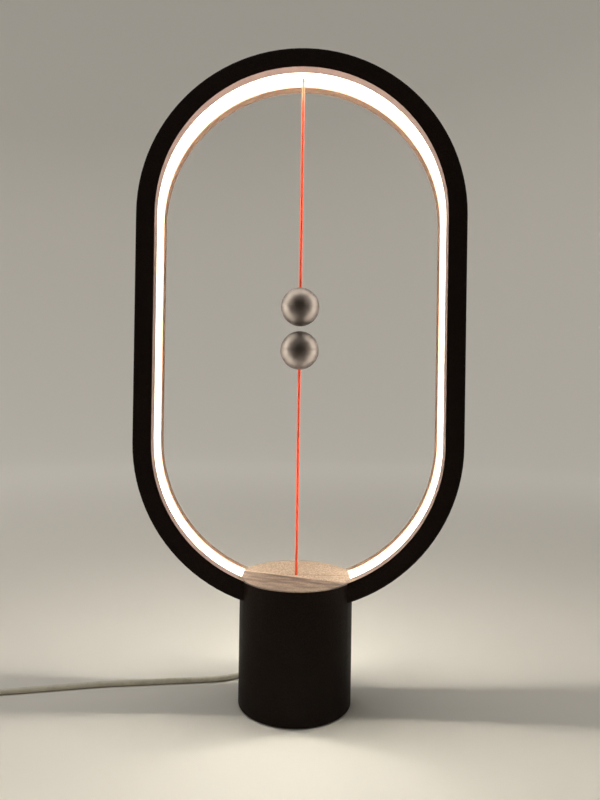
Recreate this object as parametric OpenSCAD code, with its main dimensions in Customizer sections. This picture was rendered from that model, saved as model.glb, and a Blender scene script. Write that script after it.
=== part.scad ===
// Magnetic balance lamp: a lit ring on a round base, with two magnetic balls
// on cords. Lifting the lower ball to the upper one pulls the switch on.
// X runs along the ring's width, Y away from its front, Z up from the table.

/* [Ring] */
// Width of the ring over its outer faces
ring_w = 200; // [180:1:220]
// Overall height of the lamp
lamp_h = 400; // [380:1:420]
// Radial thickness of the ring
ring_t = 11.6; // [10:0.2:14]
// Depth of the ring from front to rear
ring_d = 32; // [30:0.5:34]
// Height of the centre of the lower bend
low_bend_z = 161; // [159:0.5:163]
// Thickness of the moulded walls
wall = 2; // [1.6:0.1:2.2]
// Rounding of the outer edges of the ring
edge_r = 1.2; // [0.6:0.1:1.6]
// Width of the groove where the front and rear halves meet
seam_w = 0.3; // [0.2:0.05:0.4]

/* [Base] */
// Diameter of the round base
base_d = 70; // [68:0.5:74]
// Height of the top of the base
base_h = 78.5; // [77:0.5:80]
// Chamfer round the top of the base
top_edge = 0.5; // [0.3:0.1:0.8]
// Thickness of the soft pad under the base
pad_t = 0.8; // [0.5:0.1:1]
// Thickness of the base's wall
base_wall = 2.5; // [2:0.1:3]
// Thickness of the steel ballast disc
ballast_t = 12; // [8:0.5:14]

/* [Light] */
// Width of the white diffuser between the ring's lips
strip_w = 17.6; // [16:0.2:19]
// Thickness of the diffuser
strip_t = 2; // [1.5:0.1:2.2]
// Depth of the diffuser's face below the lips
strip_recess = 0.6; // [0.2:0.1:0.8]

/* [Balls and cords] */
// Diameter of each ball
ball_d = 24; // [22:0.5:26]
// Height of the upper ball's centre
upper_z = 246; // [244:0.5:250]
// Height of the lower ball's centre when the magnets hold it up
lower_z = 218.8; // [214:0.1:218.8]
// Diameter of the cords
string_d = 1.7; // [1.4:0.1:1.8]
// Wall of the hollow balls
ball_wall = 2; // [1.6:0.1:2.4]

/* [Switch] */
// Travel of the switch slider
slider_travel = 5; // [4:0.5:5]
// Rise of the slider's cone for each millimetre of its height
cone_slope = 0.2; // [0.15:0.01:0.22]

/* [Cable] */
// Diameter of the power cable
cable_d = 3.5; // [3:0.1:3.8]
// Turns of the coil, in its two layers together
coil_turns = 10; // [8:1:10]
// Radius of the coil's innermost turn
coil_in_r = 9.5; // [9:0.5:12]
// Space from one turn of the coil to the next
coil_pitch = 4.1; // [4:0.05:4.4]

/* [Hidden] */
$fn = 96;

// Ring
out_r = ring_w / 2;
in_r = out_r - ring_t;
high_bend_z = lamp_h - out_r;
side_h = high_bend_z - low_bend_z;
half_d = ring_d / 2;
lip_r = in_r + strip_t;
chan_r = out_r - wall;
far = 500;
// Parting line: a tongue on the rear half fits a rebate in the front half
tongue = 1.5;
tongue_gap = 0.05;
seam_deep = 0.35;

// Base
base_r = base_d / 2;
cavity_r = base_r - base_wall;
top_t = 2.5;
ceiling_z = base_h - top_t;
plate_t = 2.5;
plate_top = pad_t + plate_t;
cord_hole_r = string_d / 2 + 0.25;
boss_r = 3.2;
boss_x = 20;
boss_y = 17;
boss_top = 14;
hang_boss_y = 14;
hang_boss_z = 68;
ballast_r = 22;

// Light
diff_flange = 1;
led_w = 10;
led_t = 0.4;
chip_l = 2.8;
chip_w = 3.5;
chip_t = 0.7;
led_end_z = 76;

// Balls and cords
ball_r = ball_d / 2;
hollow_r = ball_r - ball_wall;
// The cord flexes about a point just under the diffuser's hole
pivot_z = high_bend_z + in_r - 0.5;
bend_r = string_d / 2 + 0.15;
knot_r = 1.5;
magnet_r = 6;
magnet_t = 5;
magnet_seat = 7.5;

// Switch, stored pulled up
bore_r = 5.5;
frame_r = 9;
flange_top = 60;
cone_low = 44;
cone_high = 52;
cone_r = 6;
stem_r = 3;
stem_low = 34;
button_z = 46;
button_r = 1.2;
switch_x = 8.2;
board_x = 14.2;
board_t = 1.6;

// Cable: the route of its free stretch from the gland to the coil
cable_r = cable_d / 2;
gland_z = 8;
gland_end = 44;
floor_z = cable_r + 0.05;
route = [
  [0, gland_end, gland_z], [0, 48, gland_z], [-2, 53, 7], [-8, 57, 5],
  [-16, 56, 3], [-24, 49, 2], [-30, 39, floor_z], [-38, 30, floor_z],
  [-50, 24, floor_z], [-68, 21, floor_z], [-88, 18, floor_z],
  [-107, 15, floor_z], [-126, 12, floor_z], [-156, 5, floor_z],
  [-182, -1, floor_z], [-197, -3.5, floor_z], [-205, -4, floor_z],
  [-208.5, -4, floor_z]
];

// Coil: two layers, spiralling in below and out above
coil_x = -212;
coil_start_y = -4;
coil_out_r = coil_in_r + coil_pitch * coil_turns / 2;
coil_y = coil_start_y - coil_out_r;
layer_rise = cable_d + 0.5;
loop_rings = 24;
climb_turns = 0.5;
climb_start = (coil_turns - climb_turns) / 2;

// Plug
plug_z = 4.2;
body_t = 2 * plug_z;
tail_l = 30;
tail_level = 0.35;
relief_l = 12;
body_l = 26;
body_w = 16;
shell_l = 12;
shell_w = 12;
shell_t = 4.5;
shell_wall = 0.3;

// Colours
case_colour = "#1d1814";
diffuser_colour = "#fffff4";
cord_colour = "#e0563c";
ball_colour = "#2b211c";
cable_colour = "#d8d3c4";

// ---- Shared shapes ----

// Carries a cross-section of [radius, y] once round the ring's path
module around_ring() {
  translate([0, 0, high_bend_z]) rotate([-90, 0, 0]) rotate([0, 0, 180])
    rotate_extrude(angle = 180) children();
  translate([0, 0, low_bend_z]) rotate([-90, 0, 0])
    rotate_extrude(angle = 180) children();
  for (side = [0, 1]) mirror([side, 0, 0])
    translate([0, 0, low_bend_z]) linear_extrude(side_h) children();
}

// Rectangle from radius r0 to r1, and from -h to h
module band(r0, r1, h) {
  translate([r0, -h]) square([r1 - r0, 2 * h]);
}

// Keeps what stands above a height
module above(z) {
  intersection() {
    children();
    translate([-far, -far, z]) cube([2 * far, 2 * far, far]);
  }
}

// Unit vector
function unit(v) = v / norm(v);

// Direction of a path at its point i
function heading(p, i) =
  unit(p[min(i + 1, len(p) - 1)] - p[max(i - 1, 0)]);

// Ring of points about a path's point, with one corner straight down
function tube_ring(p, i, r, sides, ref) =
  let (
    t = heading(p, i),
    s = unit(cross(t, ref)),
    u = cross(s, t)
  )
  [for (k = [0:sides - 1])
    p[i] + r * (cos(360 * k / sides - 90) * s + sin(360 * k / sides - 90) * u)];

// Closed tube swept along a path; ref is a direction the path never takes
module swept_tube(p, r, sides, ref = [0, 0, 1]) {
  rings = len(p);
  pts = [for (i = [0:rings - 1]) each tube_ring(p, i, r, sides, ref)];
  sides_low = [for (i = [0:rings - 2], k = [0:sides - 1])
    [i * sides + k, (i + 1) * sides + (k + 1) % sides, i * sides + (k + 1) % sides]];
  sides_high = [for (i = [0:rings - 2], k = [0:sides - 1])
    [i * sides + k, (i + 1) * sides + k, (i + 1) * sides + (k + 1) % sides]];
  start_cap = [[for (k = [0:sides - 1]) k]];
  end_cap = [[for (k = [sides - 1:-1:0]) (rings - 1) * sides + k]];
  polyhedron(points = pts, faces = concat(sides_low, sides_high, start_cap, end_cap));
}

// Point between b and c on a smooth curve through a, b, c and d
function curve_point(a, b, c, d, t) =
  0.5 * (2 * b + (c - a) * t + (2 * a - 5 * b + 4 * c - d) * t * t
    + (3 * b - a - 3 * c + d) * t * t * t);

// Smooth path through hand-set points, with n steps from each to the next
function smooth_path(p, n) = concat(
  [for (i = [0:len(p) - 2], k = [0:n - 1])
    curve_point(p[max(i - 1, 0)], p[i], p[i + 1], p[min(i + 2, len(p) - 1)], k / n)],
  [p[len(p) - 1]]
);

// Eased step from 0 to 1
function ease(t) = let (c = min(max(t, 0), 1)) c * c * (3 - 2 * c);

// ---- Casing ----

// Outside of the ring, drawn in by an inset
module ring_body(inset = 0) {
  round_r = max(edge_r - inset, 0.2);
  around_ring() {
    band(in_r + inset, out_r - inset - round_r, half_d - inset);
    band(in_r + inset, out_r - inset, half_d - inset - round_r);
    for (side = [-1, 1])
      translate([out_r - inset - round_r, side * (half_d - inset - round_r)])
        circle(round_r, $fn = 48);
  }
}

// Outside of the base
module base_body() {
  rotate_extrude() polygon([
    [0, pad_t], [base_r, pad_t], [base_r, base_h - top_edge],
    [base_r - top_edge, base_h], [0, base_h]
  ]);
}

// Fine groove where the two halves meet: round the ring, down the base and over its top
module parting_groove() {
  above(base_h) around_ring() band(out_r - seam_deep, out_r + 1, seam_w / 2);
  for (side = [0, 1]) mirror([side, 0, 0])
    translate([base_r - seam_deep, -seam_w / 2, 0]) cube([2, seam_w, 66]);
  translate([-base_r - 1, -seam_w / 2, base_h - seam_deep]) cube([base_d + 2, seam_w, 2]);
}

// Hollow inside the casing, with the slot for the diffuser
module casing_hollow() {
  around_ring() band(lip_r, chan_r, half_d - wall);
  above(base_h) around_ring() band(in_r - 0.5, lip_r + 0.5, strip_w / 2);
  translate([0, 0, -1]) cylinder(r = cavity_r, h = ceiling_z + 1);
}

// Posts inside the base that take the screws
module casing_bosses() {
  for (x = [-boss_x, boss_x], y = [-boss_y, boss_y]) {
    translate([x, y, plate_top]) cylinder(r = boss_r, h = boss_top - plate_top, $fn = 48);
    translate([x, y, plate_top]) rotate([0, 0, atan2(y, x)])
      translate([0, -0.8, 0]) cube([cavity_r + 1 - norm([x, y]), 1.6, boss_top - plate_top]);
  }
  for (y = [-hang_boss_y, hang_boss_y])
    translate([0, y, hang_boss_z]) cylinder(r = 3, h = ceiling_z - hang_boss_z + 0.5, $fn = 48);
}

// Holes in the casing: pilots, the cord's hole and the cable's
module casing_holes() {
  for (x = [-boss_x, boss_x], y = [-boss_y, boss_y])
    translate([x, y, plate_top - 1]) cylinder(r = 1.2, h = 9, $fn = 48);
  for (y = [-hang_boss_y, hang_boss_y])
    translate([0, y, hang_boss_z - 1]) cylinder(r = 0.9, h = 7, $fn = 48);
  translate([0, 0, ceiling_z - 1]) cylinder(r = cord_hole_r, h = top_t + 2, $fn = 48);
  translate([0, cavity_r - 2, gland_z]) rotate([-90, 0, 0]) cylinder(r = 3, h = 6, $fn = 48);
}

module casing_shell() {
  difference() {
    union() {
      difference() {
        union() {
          ring_body();
          base_body();
        }
        casing_hollow();
      }
      casing_bosses();
    }
    casing_holes();
    parting_groove();
  }
}

// Slab of the casing's mid-plane, tongue_l deep, on the front side
module mid_slab(tongue_l) {
  translate([-far, -tongue_l, -1]) cube([2 * far, tongue_l, far]);
}

module front_casing() {
  color(case_colour) difference() {
    intersection() {
      casing_shell();
      translate([-far, -far, -1]) cube([2 * far, far, far]);
    }
    intersection() {
      ring_body(1 - tongue_gap);
      mid_slab(tongue + tongue_gap);
      tongue_zone();
    }
  }
}

module rear_casing() {
  color(case_colour) {
    intersection() {
      casing_shell();
      translate([-far, 0, -1]) cube([2 * far, far, far]);
    }
    intersection() {
      casing_shell();
      ring_body(1);
      mid_slab(tongue);
      tongue_zone();
    }
  }
}

// Where the tongue runs: round the ring's outer wall, above the base
module tongue_zone() {
  above(base_h + 10) translate([-far, -far, 0]) cube([2 * far, 2 * far, far]);
}

// ---- Light ----

module diffuser() {
  color(diffuser_colour) difference() {
    above(base_h) around_ring() {
      band(in_r + strip_recess, lip_r, strip_w / 2);
      band(lip_r, lip_r + diff_flange, strip_w / 2 + 2.2);
    }
    translate([0, 0, pivot_z - 2]) cylinder(r = bend_r + 0.2, h = 8, $fn = 48);
  }
}

module led_strip() {
  color("white") above(led_end_z) around_ring()
    band(chan_r - led_t, chan_r, led_w / 2);
}

// One light chip on the strip, at radius 0 and facing inwards
module led_chip() {
  translate([-chip_t, -chip_w / 2, -chip_l / 2]) cube([chip_t, chip_w, chip_l]);
}

module led_chips() {
  r = chan_r - led_t - 0.08;
  side_chips = 8;
  gap = side_h / side_chips;
  color("#ffe08a") {
    for (a = [5:10:175])
      translate([0, 0, high_bend_z]) rotate([0, -a, 0]) translate([r, 0, 0]) led_chip();
    for (side = [0, 1]) mirror([side, 0, 0]) {
      for (i = [0:side_chips - 1])
        translate([r, 0, low_bend_z + gap * (i + 0.5)]) led_chip();
      for (a = [5:10:55])
        translate([0, 0, low_bend_z]) rotate([0, a, 0]) translate([r, 0, 0]) led_chip();
    }
  }
}

// Two wires from the right end of the strip to the board
module led_leads() {
  for (y = [-4, 4]) color(y < 0 ? "red" : "black")
    swept_tube(smooth_path([[47.8, y, 76.2], [40, y, 72.6], [34, y, 71.2], [28, y, 68],
      [23, y, 62], [20, y, 60], [17.5, y, 60], [board_x + board_t + 0.1, y, 60]], 2),
      0.6, 8, [0, 1, 0]);
}

// ---- Base ----

module bottom_plate() {
  color("#2a2623") {
    difference() {
      translate([0, 0, pad_t]) cylinder(r = cavity_r - 0.1, h = plate_t);
      for (x = [-boss_x, boss_x], y = [-boss_y, boss_y]) {
        translate([x, y, 0]) cylinder(r = 1.7, h = 5, $fn = 48);
        translate([x, y, pad_t]) cylinder(r1 = 3.1, r2 = 1.7, h = 1.4, $fn = 48);
      }
    }
    translate([0, 0, plate_top]) difference() {
      cylinder(r = ballast_r + 0.8, h = 2);
      translate([0, 0, -1]) cylinder(r = ballast_r + 0.05, h = 4);
    }
  }
}

module foot_pad() {
  color("#141414") cylinder(r = cavity_r - 1, h = pad_t);
}

// Countersunk screws, heads down, that hold the plate to the casing
module base_screws() {
  color("silver") for (x = [-boss_x, boss_x], y = [-boss_y, boss_y])
    translate([x, y, pad_t + 0.05]) difference() {
      union() {
        cylinder(r1 = 2.9, r2 = 1.2, h = 1.4, $fn = 48);
        cylinder(r = 1.15, h = 9.5, $fn = 48);
      }
      for (turn = [0, 90]) rotate([0, 0, turn])
        translate([-1.6, -0.3, -1]) cube([3.2, 0.6, 1.8]);
    }
}

module ballast_weight() {
  color("#8a8d90") difference() {
    translate([0, 0, plate_top]) cylinder(r = ballast_r, h = ballast_t);
    translate([0, 0, plate_top - 1]) cylinder(r = 3, h = ballast_t + 2, $fn = 48);
  }
}

// ---- Switch ----

// Guide for the slider, hung under the base's top
module switch_frame() {
  bore_low = 54;
  bore_top = ceiling_z - 2;
  plate_low = 36;
  stop_z = cone_low - slider_travel - 0.1;
  color("#e8e4da") difference() {
    union() {
      translate([0, 0, bore_low]) cylinder(r = frame_r, h = ceiling_z - bore_low);
      translate([-4, -17.5, hang_boss_z - 2]) cube([8, 35, 2]);
      for (side = [0, 1]) mirror([0, side, 0])
        translate([-3, 6.6, plate_low]) cube([6, 2.2, bore_low - plate_low + 1]);
      translate([0, 0, plate_low]) cylinder(r = frame_r, h = stop_z - plate_low);
      translate([6, -4, 57]) cube([board_x - 6, 8, 6]);
    }
    translate([0, 0, bore_low - 1]) cylinder(r = bore_r, h = bore_top - bore_low + 1);
    translate([0, 0, bore_top - 1]) cylinder(r = cord_hole_r, h = 4, $fn = 48);
    translate([0, 0, plate_low - 1]) cylinder(r = stem_r + 0.1, h = 6);
    for (y = [-hang_boss_y, hang_boss_y])
      translate([0, y, hang_boss_z - 3]) cylinder(r = 1.2, h = 4, $fn = 48);
    translate([board_x - 5, 0, 60]) rotate([0, 90, 0]) cylinder(r = 0.9, h = 6, $fn = 48);
  }
}

// Pan-head screw pointing up, its head's seat at the origin
module small_screw(length) {
  difference() {
    union() {
      translate([0, 0, -1.2]) cylinder(r = 2, h = 1.2, $fn = 48);
      cylinder(r = 0.85, h = length, $fn = 48);
    }
    for (turn = [0, 90]) rotate([0, 0, turn])
      translate([-1.1, -0.25, -2]) cube([2.2, 0.5, 1.3]);
  }
}

module frame_screws() {
  color("silver") for (y = [-hang_boss_y, hang_boss_y])
    translate([0, y, hang_boss_z - 2]) small_screw(7.5);
}

module board_screw() {
  color("silver") translate([board_x + board_t, 0, 60]) rotate([0, -90, 0]) small_screw(5.5);
}

// Slider that the lower cord pulls up: its cone presses the micro switch
module switch_slider() {
  neck_r = 3.5;
  color("#f2efe6") difference() {
    union() {
      translate([0, 0, flange_top - 2]) cylinder(r = bore_r - 0.1, h = 2);
      translate([0, 0, cone_high]) cylinder(r = neck_r, h = flange_top - 2 - cone_high);
      translate([0, 0, cone_low])
        cylinder(r1 = cone_r, r2 = cone_r - cone_slope * (cone_high - cone_low),
          h = cone_high - cone_low);
      translate([0, 0, stem_low]) cylinder(r = stem_r, h = cone_low - stem_low);
    }
    translate([0, 0, stem_low - 1]) cylinder(r = string_d / 2 + 0.15, h = 40, $fn = 48);
    translate([0, 0, stem_low - 1]) cylinder(r = 2, h = 4, $fn = 48);
  }
}

module slider_knot() {
  color(cord_colour) translate([0, 0, stem_low + 3 - knot_r - 0.05])
    sphere(knot_r, $fn = 32);
}

// Return spring between the slider's flange and the guide's top
module switch_spring() {
  turns = 5;
  wire_r = 0.35;
  mean_r = 4.4;
  steps = 12;
  low = flange_top + wire_r + 0.05;
  high = ceiling_z - 2 - wire_r - 0.05;
  path = [for (i = [0:turns * steps])
    [mean_r * cos(360 * i / steps), mean_r * sin(360 * i / steps),
      low + (high - low) * i / (turns * steps)]];
  color("silver") swept_tube(path, wire_r, 6);
}

module micro_switch() {
  color("#20242c") difference() {
    translate([switch_x, -6.4, button_z - 3]) cube([board_x - switch_x, 12.8, 6]);
    translate([switch_x - 1, 0, button_z]) rotate([0, 90, 0])
      cylinder(r = button_r + 0.1, h = 4.5, $fn = 48);
  }
}

module switch_button() {
  contact_r = cone_r - cone_slope * (button_z - cone_low);
  tip_x = contact_r + 0.15;
  color("#c8402c") {
    translate([tip_x + button_r, 0, button_z]) {
      rotate([0, 90, 0]) cylinder(r = button_r, h = 3, $fn = 48);
      sphere(button_r, $fn = 48);
    }
  }
}

module driver_board() {
  color("#1f6b3a") difference() {
    translate([board_x, -13, 28]) cube([board_t, 26, 37]);
    translate([board_x - 1, 0, 60]) rotate([0, 90, 0]) cylinder(r = 1, h = 4, $fn = 48);
  }
}

module driver_chip() {
  color("#17181b") translate([board_x + board_t, -2.5, 46]) cube([1.6, 5, 4]);
}

module inductor() {
  color("#3a3a3e") translate([board_x + board_t, 6, 40]) rotate([0, 90, 0])
    cylinder(r = 3.2, h = 3, $fn = 48);
}

module capacitors() {
  color("#b98d55") for (z = [36, 40, 44])
    translate([board_x + board_t, -9, z]) cube([1.2, 3.2, 1.6]);
}

// ---- Cable ----

// Lead inside the base, from the gland to the board
module inner_lead() {
  color(cable_colour)
    swept_tube(smooth_path([[0, 29.4, gland_z], [0, 26, 8.5], [0, 24, 11], [2, 23, 16],
      [8, 21, 20], [15, 16, 23], [19.5, 11, 26], [20.5, 7, 30], [18.5, 5, 33],
      [17, 5, 33], [board_x + board_t + 0.1, 5, 33]], 2), 1.2, 8, [1, 1, 0.2]);
}

// Moulded strain relief: a flange inside the wall and a ribbed taper outside
module cable_gland() {
  ribs = 4;
  color(cable_colour) translate([0, 0, gland_z]) rotate([-90, 0, 0]) {
    translate([0, 0, cavity_r - 3]) cylinder(r = 4, h = 2.5, $fn = 48);
    translate([0, 0, cavity_r - 1]) cylinder(r = 2.95, h = base_wall + 1.6, $fn = 48);
    translate([0, 0, base_r + 0.1]) cylinder(r = 4, h = 1.1, $fn = 48);
    translate([0, 0, base_r + 1]) cylinder(r1 = 2.7, r2 = 2.1, h = gland_end - base_r - 1, $fn = 48);
    for (i = [0:ribs - 1]) translate([0, 0, base_r + 2.1 + 1.8 * i])
      cylinder(r = 3.5 - 0.3 * i, h = 1, $fn = 48);
  }
}

module usb_cable() {
  color(cable_colour) swept_tube(smooth_path(route, 2), cable_r, 8);
}

// Radius of the coil after a number of turns: in to the middle, and out again
function coil_radius(turn) = coil_in_r + coil_pitch * abs(turn - coil_turns / 2);

// Point of the coil after a number of turns
function coil_point(turn) =
  let (a = 90 + 360 * turn, r = coil_radius(turn))
  [coil_x + r * cos(a), coil_y + r * sin(a),
    floor_z + layer_rise * ease((turn - climb_start) / climb_turns)];

// The coil, with a straight lead in and a tail that comes down to the plug
coil_end = coil_point(coil_turns);
coil_path = concat(
  [[coil_x + cable_d, coil_start_y, floor_z]],
  [for (i = [0:coil_turns * loop_rings]) coil_point(i / loop_rings)]
);
tail_dir = [-1, 0, 0];
tail_steps = 6;
tail_path = [for (i = [1:tail_steps])
  coil_end + tail_dir * (tail_l - cable_d) * i / tail_steps
  + [0, 0, (plug_z - coil_end[2]) * ease((i / tail_steps - tail_level) / (1 - tail_level))]];
plug_at = coil_end + tail_dir * tail_l + [0, 0, plug_z - coil_end[2]];
cable_path = concat(coil_path, tail_path, [plug_at]);

// Least space between turns of the coil, measured from centre to centre
loops_apart = round(loop_rings / 2);
coil_gap = min([for (i = [0:len(cable_path) - 1])
  each [for (j = [i + loops_apart:1:len(cable_path) - 1])
    norm(cable_path[i] - cable_path[j])]]) - cable_d;

module cable_coil() {
  echo(coil_least_gap = coil_gap, coil_end = coil_end, plug_at = plug_at);
  color(cable_colour) swept_tube(cable_path, cable_r, 6);
}

// ---- Plug ----

// Places its children at the coil's end with +X along the plug
module at_plug() {
  translate(plug_at) rotate([0, 0, 180]) children();
}

module plug_relief() {
  color(cable_colour) at_plug() rotate([0, 90, 0]) {
    cylinder(r1 = 2.1, r2 = 2.9, h = relief_l, $fn = 48);
    for (i = [0:3]) translate([0, 0, 2 + 2.4 * i])
      cylinder(r = 2.8 + 0.2 * i, h = 1.2, $fn = 48);
  }
}

// Rounded rectangle in the Y-Z plane, drawn out along X
module rounded_bar(length, w, t, r) {
  rotate([90, 0, 90]) linear_extrude(length) {
    translate([-w / 2 + r, -t / 2]) square([w - 2 * r, t]);
    translate([-w / 2, -t / 2 + r]) square([w, t - 2 * r]);
    for (y = [-1, 1], z = [-1, 1])
      translate([y * (w / 2 - r), z * (t / 2 - r)]) circle(r, $fn = 48);
  }
}

module plug_body() {
  color(cable_colour) at_plug() translate([relief_l, 0, 0])
    rounded_bar(body_l, body_w, body_t, 2);
}

module plug_shell() {
  color("silver") at_plug() translate([relief_l + body_l, 0, 0]) difference() {
    rounded_bar(shell_l, shell_w, shell_t, 0.5);
    translate([-1, -shell_w / 2 + shell_wall, -shell_t / 2 + shell_wall])
      cube([shell_l + 2, shell_w - 2 * shell_wall, shell_t - 2 * shell_wall]);
    for (y = [-3, 3]) translate([6, y - 1.2, 0]) cube([2.4, 2.4, shell_t]);
  }
}

module plug_tongue() {
  color("#f4f4f0") at_plug() translate([relief_l + body_l, 0, 0])
    translate([0, -shell_w / 2 + shell_wall, -shell_t / 2 + shell_wall])
      cube([shell_l - 0.4, shell_w - 2 * shell_wall, 1.9]);
}

// ---- Balls and cords ----

// Bridge behind the diffuser that the upper cord hangs from
module string_anchor() {
  color("#e8e4da") difference() {
    translate([-6, -half_d + wall, high_bend_z + lip_r + 1.2]) cube([12, ring_d - 2 * wall, 2]);
    translate([0, 0, pivot_z]) cylinder(r = string_d / 2 + 0.15, h = 10, $fn = 48);
  }
}

// End of the upper cord, knotted over the bridge
module anchor_knot() {
  low = pivot_z + bend_r + 0.1;
  seat = high_bend_z + lip_r + 3.2;
  color(cord_colour) {
    translate([0, 0, low]) cylinder(d = string_d, h = seat + 0.5 - low, $fn = 48);
    translate([0, 0, seat + 1.3]) sphere(1.3, $fn = 32);
  }
}

// Short length of the cord that flexes in the diffuser's hole
module upper_string_bend() {
  color(cord_colour) translate([0, 0, pivot_z]) sphere(bend_r, $fn = 32);
}

module upper_string() {
  high = pivot_z - bend_r - 0.05;
  low = upper_z + hollow_r;
  color(cord_colour) translate([0, 0, low]) cylinder(d = string_d, h = high - low, $fn = 48);
}

// Half of a hollow ball, its flat rim at the origin and its pole up,
// with a hole for the cord
module cord_half() {
  color(ball_colour) difference() {
    sphere(ball_r);
    sphere(hollow_r);
    translate([-ball_d, -ball_d, -2 * ball_d]) cube([2 * ball_d, 2 * ball_d, 2 * ball_d]);
    cylinder(r = string_d / 2 + 0.1, h = ball_d, $fn = 48);
  }
}

// The other half, with a pocket that holds the magnet near its pole
module magnet_half() {
  color(ball_colour) difference() {
    union() {
      difference() {
        sphere(ball_r);
        sphere(hollow_r);
      }
      intersection() {
        sphere(hollow_r + 0.5);
        translate([0, 0, 3.5]) cylinder(r = magnet_r + 1.4, h = ball_r);
      }
    }
    translate([-ball_d, -ball_d, -2 * ball_d]) cube([2 * ball_d, 2 * ball_d, 2 * ball_d]);
    cylinder(r = magnet_r + 0.05, h = magnet_seat);
  }
}

module ball_magnet() {
  color("silver") translate([0, 0, magnet_seat - magnet_t]) cylinder(r = magnet_r, h = magnet_t);
}

module ball_knot() {
  color(cord_colour) translate([0, 0, hollow_r - knot_r - 0.05]) sphere(knot_r, $fn = 32);
}

module upper_ball_top() { translate([0, 0, upper_z]) cord_half(); }
module upper_ball_bottom() { translate([0, 0, upper_z]) mirror([0, 0, 1]) magnet_half(); }
module upper_magnet() { translate([0, 0, upper_z]) mirror([0, 0, 1]) ball_magnet(); }
module upper_ball_knot() { translate([0, 0, upper_z]) ball_knot(); }

module lower_string() {
  low = stem_low + 3;
  high = lower_z - hollow_r;
  color(cord_colour) translate([0, 0, low]) cylinder(d = string_d, h = high - low, $fn = 48);
}

module lower_ball_top() { translate([0, 0, lower_z]) magnet_half(); }
module lower_ball_bottom() { translate([0, 0, lower_z]) mirror([0, 0, 1]) cord_half(); }
module lower_magnet() { translate([0, 0, lower_z]) ball_magnet(); }
module lower_ball_knot() { translate([0, 0, lower_z]) mirror([0, 0, 1]) ball_knot(); }

front_casing();
rear_casing();
diffuser();
led_strip();
led_chips();
led_leads();
bottom_plate();
foot_pad();
base_screws();
ballast_weight();
switch_frame();
frame_screws();
micro_switch();
driver_board();
board_screw();
driver_chip();
inductor();
capacitors();
inner_lead();
cable_gland();
usb_cable();
cable_coil();
plug_relief();
plug_body();
plug_shell();
plug_tongue();
string_anchor();
anchor_knot();
upper_string_bend();
upper_string();
upper_ball_top();
upper_ball_bottom();
upper_magnet();
upper_ball_knot();
switch_slider();
slider_knot();
switch_spring();
switch_button();
lower_string();
lower_ball_top();
lower_ball_bottom();
lower_magnet();
lower_ball_knot();
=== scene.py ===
"""Looks of the magnetic balance lamp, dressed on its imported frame.

An upright ring lit on its inside stands on a round base. A ball hangs from the
ring's top on a cord, and a second one is tied to a cord out of the base.
Lengths are in metres, in the frame's own axes: X along the ring's width, Y away
from its front and Z up from the table.
"""

import logging
import math
from dataclasses import dataclass, field
from enum import Enum
from typing import ClassVar

import bmesh
import bpy
from mathutils import Matrix, Vector


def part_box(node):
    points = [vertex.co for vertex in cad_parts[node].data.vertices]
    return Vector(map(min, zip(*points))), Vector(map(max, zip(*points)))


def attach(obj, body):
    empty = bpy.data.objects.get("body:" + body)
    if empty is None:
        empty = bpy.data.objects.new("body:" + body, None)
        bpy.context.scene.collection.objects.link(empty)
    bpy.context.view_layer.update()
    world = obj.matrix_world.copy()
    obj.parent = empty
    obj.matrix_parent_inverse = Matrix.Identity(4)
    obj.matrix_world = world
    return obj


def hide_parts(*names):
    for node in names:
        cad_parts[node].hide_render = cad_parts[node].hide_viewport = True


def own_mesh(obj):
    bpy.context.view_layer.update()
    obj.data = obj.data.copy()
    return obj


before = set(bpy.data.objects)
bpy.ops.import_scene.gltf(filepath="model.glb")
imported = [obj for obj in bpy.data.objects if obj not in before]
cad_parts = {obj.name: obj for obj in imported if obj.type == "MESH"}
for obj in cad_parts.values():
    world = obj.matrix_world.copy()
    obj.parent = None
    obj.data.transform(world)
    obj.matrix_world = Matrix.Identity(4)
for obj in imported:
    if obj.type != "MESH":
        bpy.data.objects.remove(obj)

log = logging.getLogger("balance_lamp")

MM = 0.001
CORD_MAP = "cord_lie"
MERGE = 0.005 * MM
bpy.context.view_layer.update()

Point = tuple[float, float, float]
Colour = tuple[float, float, float, float]
Pair = tuple[float, float]
Socket = bpy.types.NodeSocket
Outputs = bpy.types.NodeOutputs
Tree = bpy.types.NodeTree
Piece = bpy.types.Object


def srgb(red: float, green: float, blue: float) -> Colour:
    """Turns an sRGB colour from 0 to 255 into a linear colour with alpha 1.

    Args:
        red: Red from 0 to 255.
        green: Green from 0 to 255.
        blue: Blue from 0 to 255.

    Returns:
        The linear red, green and blue from 0 to 1, and alpha.
    """
    def linear(value: float) -> float:
        part = value / 255
        return part / 12.92 if part <= 0.04045 else ((part + 0.055) / 1.055) ** 2.4
    return linear(red), linear(green), linear(blue), 1.0


def shaded(colour: Colour, share: float) -> Colour:
    """Scales a linear colour, and keeps alpha 1."""
    return share * colour[0], share * colour[1], share * colour[2], 1.0


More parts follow.
